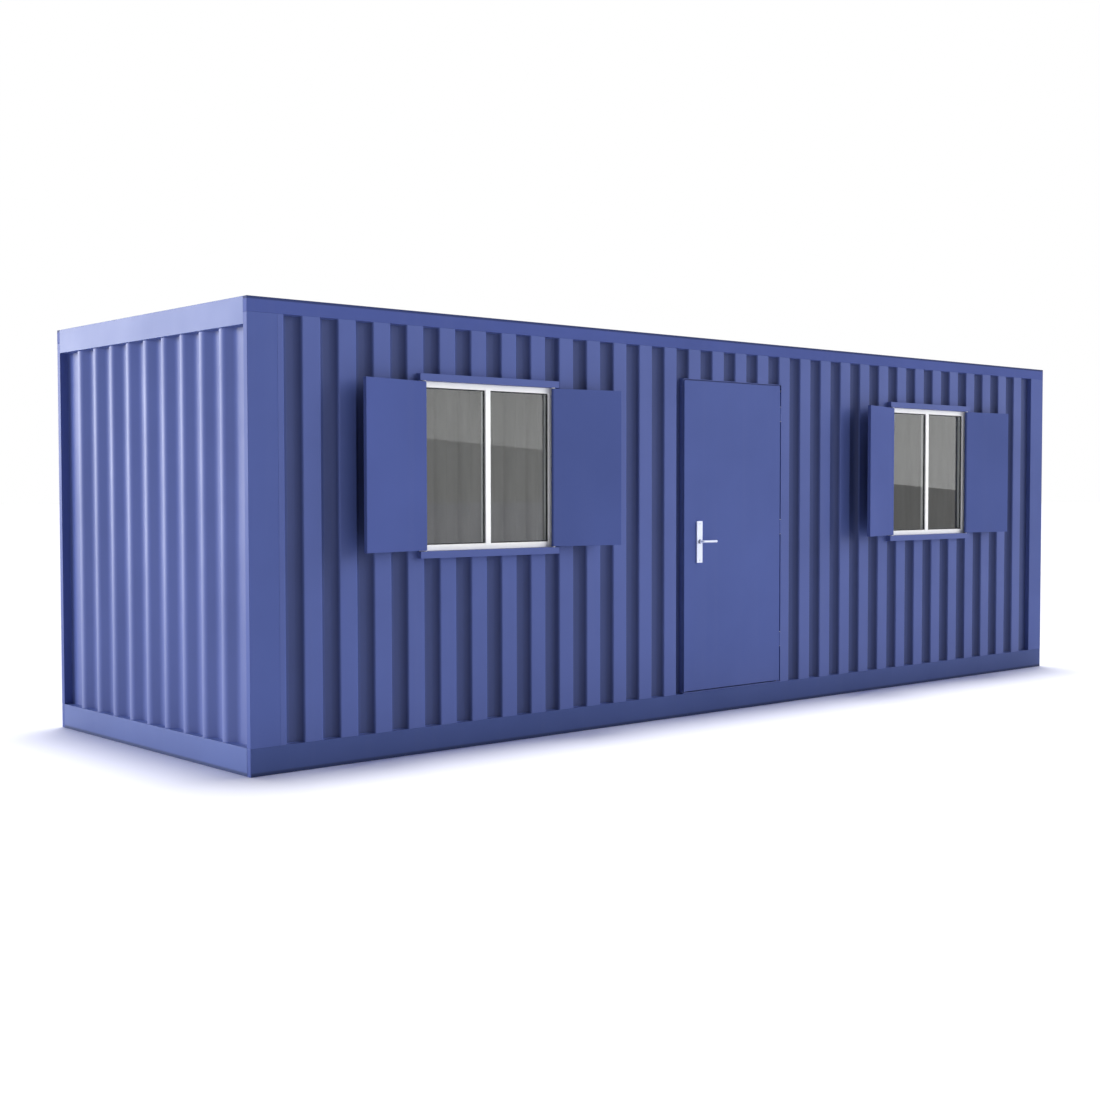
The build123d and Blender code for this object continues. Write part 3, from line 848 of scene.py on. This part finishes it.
# %% Door seal
SEAL_INSET = 20 * MM
SEAL_WIDTH = 14 * MM
SEAL_PROUD = 4 * MM
SEAL_SURPLUS = 100 * MM
lock_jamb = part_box("door_jamb_lock_side")
hinge_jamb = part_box("door_jamb_hinge_side")
head_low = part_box("door_head")[0].z
sill_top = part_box("door_threshold")[1].z
shape = bmesh.new()
strip_ring(
    shape,
    (lock_jamb[1].x - SEAL_INSET, hinge_jamb[0].x + SEAL_INSET),
    lock_jamb[0].y,
    (sill_top - SEAL_SURPLUS, head_low + SEAL_INSET),
    SEAL_WIDTH,
    -SEAL_PROUD,
)
cut = bmesh.ops.bisect_plane(
    shape,
    geom=[*shape.verts, *shape.edges, *shape.faces],
    plane_co=(0, 0, sill_top),
    plane_no=(0, 0, -1),
    clear_outer=True,
)["geom_cut"]
bmesh.ops.holes_fill(shape, edges=[e for e in cut if isinstance(e, bmesh.types.BMEdge)])
bmesh.ops.recalc_face_normals(shape, faces=shape.faces)
door_seal = add_piece("door_seal", shape, gasket_rubber, "cabin")
print(door_seal.name, len(door_seal.data.polygons), "faces")

# %% [markdown]
# ## Turned pieces: bushes, washers and pin caps
# Small round parts come off a lathe, so they are made as a lathe makes them: a profile spun about an axis.
# A full spin with use_merge closes the seam, and doubles on the axis are merged into one pole.
# A black rubber bush sits round each lever's neck, white washers carry the shutters on their pins,
# and a small domed cap closes each end of the door's hinge barrels.

# %% A lathe


def turned(shape, profile, place, axis, steps=24):
    """Spins a closed profile of (radius, height) points about axis, with its foot at place."""
    verts = [shape.verts.new((radius, 0, height)) for radius, height in profile]
    edges = [shape.edges.new((verts[i - 1], verts[i])) for i in range(len(verts))]
    spun = bmesh.ops.spin(
        shape,
        geom=[*verts, *edges],
        cent=(0, 0, 0),
        axis=(0, 0, 1),
        angle=2 * math.pi,
        steps=steps,
        use_merge=True,
    )["geom_last"]
    made = set(verts)
    grown = [*verts, *(v for v in spun if isinstance(v, bmesh.types.BMVert))]
    while grown:
        vert = grown.pop()
        for edge in vert.link_edges:
            other = edge.other_vert(vert)
            if other not in made:
                made.add(other)
                grown.append(other)
    turn = Vector(axis).to_track_quat("Z", "Y").to_matrix()
    bmesh.ops.rotate(shape, matrix=turn, verts=list(made))
    bmesh.ops.translate(shape, vec=place, verts=list(made))
    bmesh.ops.remove_doubles(shape, verts=list(made), dist=MERGE)
    bmesh.ops.recalc_face_normals(shape, faces=shape.faces)


def in_metres(*points):
    """A profile in millimetres as metres."""
    return [(radius * MM, height * MM) for radius, height in points]


print("profile of a pin", in_metres((0, 0), (5, 0), (5, 20), (0, 20)))

# %% Lever bushes
LEVER_RADIUS = 9 * MM
lever_low, lever_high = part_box("door_lever_set")
plate_low, plate_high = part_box("door_handle_plates")
spindle_x = lever_low.x + LEVER_RADIUS
spindle_z = (lever_low.z + lever_high.z) / 2
bush = in_metres((9.4, 0), (9.4, 2.5), (12.5, 2.5), (14, 1.2), (14, 0))
shape = bmesh.new()
turned(shape, bush, (spindle_x, plate_low.y, spindle_z), (0, -1, 0), 32)
turned(shape, bush, (spindle_x, plate_high.y, spindle_z), (0, 1, 0), 32)
lever_bushes = add_piece("door_lever_bushes", shape, gasket_rubber, "door")
print(lever_bushes.name, len(lever_bushes.data.polygons), "faces")

# %% Shutter washers
PIVOT_SPACING = 1003 * MM
PIVOT_BEHIND_LEDGE = 14 * MM
SHUTTER_GAP = 5 * MM  # between a leaf and each ledge, which the washer partly fills
washer = in_metres((5.4, 0), (5.4, 3.6), (10.6, 3.6), (11, 3.2), (11, 0.4), (10.6, 0))
for window in ("left_window", "right_window"):
    low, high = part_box(window + "_surround")
    leaf_low, leaf_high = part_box(window + "_shutter_left")
    shape = bmesh.new()
    for side in (-1, 1):
        x = (low.x + high.x) / 2 + side * PIVOT_SPACING / 2
        y = low.y + PIVOT_BEHIND_LEDGE
        turned(shape, washer, (x, y, leaf_low.z - SHUTTER_GAP), (0, 0, 1))
        turned(shape, washer, (x, y, leaf_high.z + SHUTTER_GAP), (0, 0, -1))
    washers = add_piece(window + "_pin_washers", shape, white_profile, "cabin")
    print(washers.name, len(washers.data.polygons), "faces")

# %% Hinge pin caps
HINGE_HEIGHTS = (420 * MM, 1233 * MM, 2045 * MM)
HINGE_TALL = 101 * MM
HINGE_RADIUS = 7 * MM
HINGE_FROM_LEFT = 4370 * MM
hinge_x = cad_low.x + HINGE_FROM_LEFT
hinge_y = hinge_jamb[0].y + HINGE_RADIUS
pin_cap = in_metres((0, 0), (6, 0), (6, 1.2), (5, 2.6), (2.6, 3.4), (0, 3.6))
shape = bmesh.new()
for height in HINGE_HEIGHTS:
    turned(shape, pin_cap, (hinge_x, hinge_y, height), (0, 0, -1))
    turned(shape, pin_cap, (hinge_x, hinge_y, height + HINGE_TALL), (0, 0, 1))
hinge_caps = add_piece("door_hinge_caps", shape, zinc_plate, "cabin")
print(hinge_caps.name, len(hinge_caps.data.polygons), "faces")

# %% [markdown]
# ## Screws
# A machine screw's head is a low dome with a hexagon socket sunk in it.
# Circles of many points and of 6 are bridged to one another from the rim down to the socket's floor:
# bridge_loops makes the faces between two rings, even when their counts differ.
# Four screws hold the handle plates, and rows of them hold the floor down on its cross members.

# %% Screws


def socket_screw(shape, place, axis, radius, rise, segments):
    """A domed screw head with a hexagon socket, its foot at place and facing along axis."""
    turn = Matrix.Translation(place) @ Vector(axis).to_track_quat("Z", "Y").to_matrix().to_4x4()
    rings = (
        (segments, radius, 0),
        (segments, radius * 0.94, rise * 0.55),
        (segments, radius * 0.62, rise),
        (6, radius * 0.42, rise),
        (6, radius * 0.42, rise * 0.2),
    )
    last = None
    for count, reach, height in rings:
        level = turn @ Matrix.Translation((0, 0, height))
        ring = bmesh.ops.create_circle(
            shape, segments=count, radius=reach, cap_ends=not last, matrix=level
        )["verts"]
        edges = [e for e in {e for v in ring for e in v.link_edges} if all(v in ring for v in e.verts)]
        if last:
            bmesh.ops.bridge_loops(shape, edges=[*last, *edges])
        last = edges
    bmesh.ops.holes_fill(shape, edges=last)


PLATE_SCREW_IN = 18 * MM
shape = bmesh.new()
for y, way in ((plate_low.y, -1), (plate_high.y, 1)):
    for z in (plate_low.z + PLATE_SCREW_IN, plate_high.z - PLATE_SCREW_IN):
        socket_screw(shape, (spindle_x, y, z), (0, way, 0), 4.5 * MM, 1.6 * MM, 24)
bmesh.ops.recalc_face_normals(shape, faces=shape.faces)
plate_screws = add_piece("handle_plate_screws", shape, zinc_plate, "door")
print(plate_screws.name, len(plate_screws.data.polygons), "faces")

# %% Floor screws
MEMBER_COUNT = 13
MEMBER_SPACING = 600 * MM
FLOOR_ROWS = 7
FLOOR_EDGE = 60 * MM
deck_low, deck_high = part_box("floor_deck")
row_step = (deck_high.y - deck_low.y - 2 * FLOOR_EDGE) / (FLOOR_ROWS - 1)
shape = bmesh.new()
for number in range(MEMBER_COUNT):
    x = (number - (MEMBER_COUNT - 1) / 2) * MEMBER_SPACING
    for row in range(FLOOR_ROWS):
        y = deck_low.y + FLOOR_EDGE + row * row_step
        socket_screw(shape, (x, y, deck_high.z), (0, 0, 1), 6 * MM, 1.0 * MM, 12)
bmesh.ops.recalc_face_normals(shape, faces=shape.faces)
floor_screws = add_piece("floor_screws", shape, zinc_plate, "cabin")
print(floor_screws.name, len(floor_screws.data.polygons), "faces")

# %% [markdown]
# ## Weld beads
# The folded sheet is welded to the rails along its whole zigzag edge. On the flats the bead is ground flush,
# and in the grooves it stays as a small round fillet under the paint.
# A bead is a round section on a line of points, so a poly curve with a bevel depth makes it.
# The points come from the outer edge of the sheet after its bends are rounded,
# so the bead lies on the steel all the way.

# %% The outer edge of a sheet
FACES_OUT = 0.2


def sheet_edge(node, outward, height):
    """The points of a folded sheet's outer face at its bottom or top edge, in order along the wall."""
    sheet = bpy.data.objects.get(node + "_finished") or frame["nodes"][node]
    shape = bmesh.new()
    shape.from_mesh(sheet.data)
    bmesh.ops.remove_doubles(shape, verts=shape.verts, dist=MERGE)
    bmesh.ops.dissolve_limit(shape, angle_limit=FLAT_TURN, verts=shape.verts, edges=shape.edges)
    found = {
        v.co.copy().freeze()
        for face in shape.faces
        if face.normal.dot(outward) > FACES_OUT
        for v in face.verts
        if abs(v.co.z - height) < MERGE
    }
    shape.free()
    run = Vector((abs(outward.y), abs(outward.x), 0))
    return sorted(found, key=lambda point: point.dot(run))


end_foot = sheet_edge("end_wall_left", Vector((-1, 0, 0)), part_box("end_wall_left")[0].z)
print("the left end wall's foot has", len(end_foot), "points")

# %% A bead on a line of points
BEAD = 3.5 * MM


def weld_beads(name, lines, body, material):
    """Round beads along lines of points, as one piece."""
    shape = bmesh.new()
    for line in lines:
        curve = bpy.data.curves.new(name, "CURVE")
        curve.dimensions = "3D"
        curve.bevel_depth = BEAD
        curve.bevel_resolution = 1
        curve.use_fill_caps = True
        spline = curve.splines.new("POLY")
        spline.points.add(len(line) - 1)
        for point, place in zip(spline.points, line):
            point.co = (*place, 1)
        path = bpy.data.objects.new(name + "_path", curve)
        before = set(shape.verts)
        shape.from_mesh(bpy.data.meshes.new_from_object(path))
        bpy.data.objects.remove(path)
        bmesh.ops.remove_doubles(shape, verts=[v for v in shape.verts if v not in before], dist=MERGE)
    bmesh.ops.recalc_face_normals(shape, faces=shape.faces)
    return add_piece(name, shape, material, body)


print("beads", 2 * BEAD, "m thick")

# %% Beads in the grooves
FLUSH = 3 * MM


def sunken_runs(points, outward, plane):
    """The stretches of a line that lie deeper than the flush flats, each with its ends just inside."""
    runs = []
    for first, second in zip(points, points[1:]):
        depths = [plane - point.dot(outward) for point in (first, second)]
        if max(depths) < FLUSH:
            continue
        ends = []
        for point, other, depth, far in ((first, second, *depths), (second, first, *reversed(depths))):
            share = (FLUSH - depth) / (far - depth) if depth < FLUSH else 0.0
            ends.append(point.lerp(other, share))
        if runs and (runs[-1][-1] - ends[0]).length < MERGE:
            runs[-1].append(ends[1])
        else:
            runs.append(ends)
    return runs


for side, outward in (("front", Vector((0, -1, 0))), ("rear", Vector((0, 1, 0)))):
    lines = []
    for node in [n for n in slot_of if n.startswith(side + "_wall")]:
        low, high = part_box(node)
        plane = max(low.dot(outward), high.dot(outward))
        for height in (low.z, high.z):
            lines += sunken_runs(sheet_edge(node, outward, height), outward, plane)
    beads = weld_beads(side + "_weld_beads", lines, "cabin", paints["frame_paint"])
    print(beads.name, len(lines), "runs", len(beads.data.polygons), "faces")

# %% Beads round the end walls
for side, outward in (("left", Vector((-1, 0, 0))), ("right", Vector((1, 0, 0)))):
    node = "end_wall_" + side
    low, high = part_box(node)
    foot, top = (sheet_edge(node, outward, height) for height in (low.z, high.z))
    lines = [foot, top, [foot[0], top[0]], [foot[-1], top[-1]]]
    beads = weld_beads(side + "_end_weld_beads", lines, "cabin", paints["frame_paint"])
    print(beads.name, len(beads.data.polygons), "faces")
